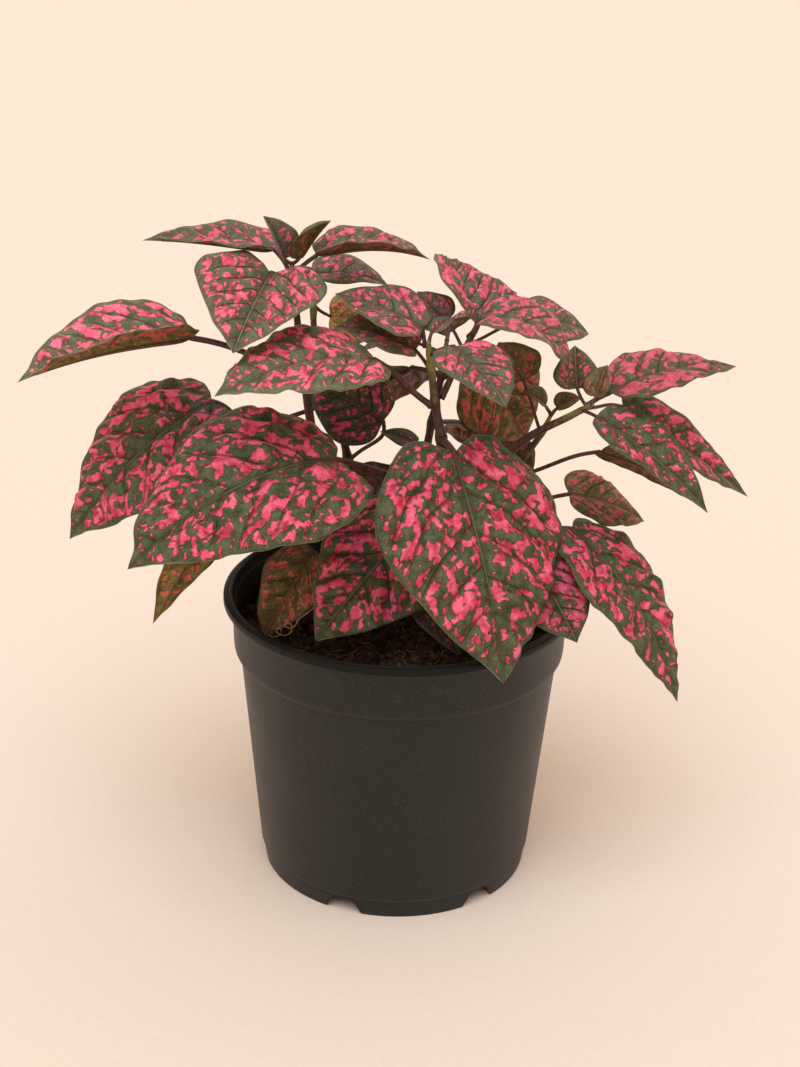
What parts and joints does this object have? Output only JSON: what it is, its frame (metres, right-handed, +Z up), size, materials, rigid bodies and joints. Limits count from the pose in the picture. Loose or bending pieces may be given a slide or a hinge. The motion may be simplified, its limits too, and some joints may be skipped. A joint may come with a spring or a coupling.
{
  "type": "potted polka dot plant",
  "caption": "Bushy house plant with pink-flecked green leaves on thin branching shoots, rooted in dark soil in a round black plastic nursery pot that stands on its foot.",
  "frame": {"origin": "centre of the pot's round foot, on the surface it stands on", "axes": "+Z up along the pot's axis, +X to the right as seen from the front, the view of the picture, and +Y towards the back"},
  "size_m": [0.238, 0.1437, 0.229],
  "materials": {
    "pot_plastic": "satin",
    "soil": "matte",
    "stem": "satin",
    "leaf": "satin"
  },
  "bodies": {
    "root": {"pot": "pot_plastic", "soil": "soil", "left_shoot": "stem", "left_rear_shoot": "stem", "center_shoot": "stem", "upper_right_branch": "stem", "right_shoot": "stem", "right_rear_shoot": "stem", "back_shoot": "stem", "left_low_shoot": "stem", "front_low_shoot": "stem", "right_low_shoot": "stem", "leaf_left_outer": "leaf", "leaf_left_top_outer": "leaf", "leaf_left_top_front": "leaf", "leaf_left_top_inner": "leaf", "leaf_left_bud_outer": "leaf", "leaf_left_bud_inner": "leaf", "leaf_left_rear_top": "leaf", "leaf_left_rear_olive": "leaf", "leaf_left_rear_shade": "leaf", "leaf_left_rear_outer": "leaf", "leaf_left_rear_low": "leaf", "leaf_left_rear_middle": "leaf", "leaf_front_large": "leaf", "leaf_front_left_large": "leaf", "leaf_center_left": "leaf", "leaf_center_small": "leaf", "leaf_crown_left": "leaf", "leaf_crown_left_low": "leaf", "leaf_crown_front": "leaf", "leaf_crown_bud": "leaf", "leaf_upper_rear": "leaf", "leaf_upper_left": "leaf", "leaf_upper_right": "leaf", "leaf_upper_right_rear": "leaf", "leaf_right_top": "leaf", "leaf_right_outer": "leaf", "leaf_right_front": "leaf", "leaf_right_bud": "leaf", "leaf_right_bud_inner": "leaf", "leaf_right_rear_up": "leaf", "leaf_right_under": "leaf", "leaf_right_rear_low": "leaf", "leaf_right_rear_bud": "leaf", "leaf_right_rear_bud_inner": "leaf", "leaf_back_olive": "leaf", "leaf_back_top": "leaf", "leaf_back_top_left": "leaf", "leaf_back_left": "leaf", "leaf_back_right": "leaf", "leaf_back_low_left": "leaf", "leaf_back_low_right": "leaf", "leaf_left_middle": "leaf", "leaf_low_left": "leaf", "leaf_left_rim": "leaf", "leaf_front_low": "leaf", "leaf_front_soil": "leaf", "leaf_front_right": "leaf", "leaf_right_rim": "leaf"}
  },
  "joints": []
}
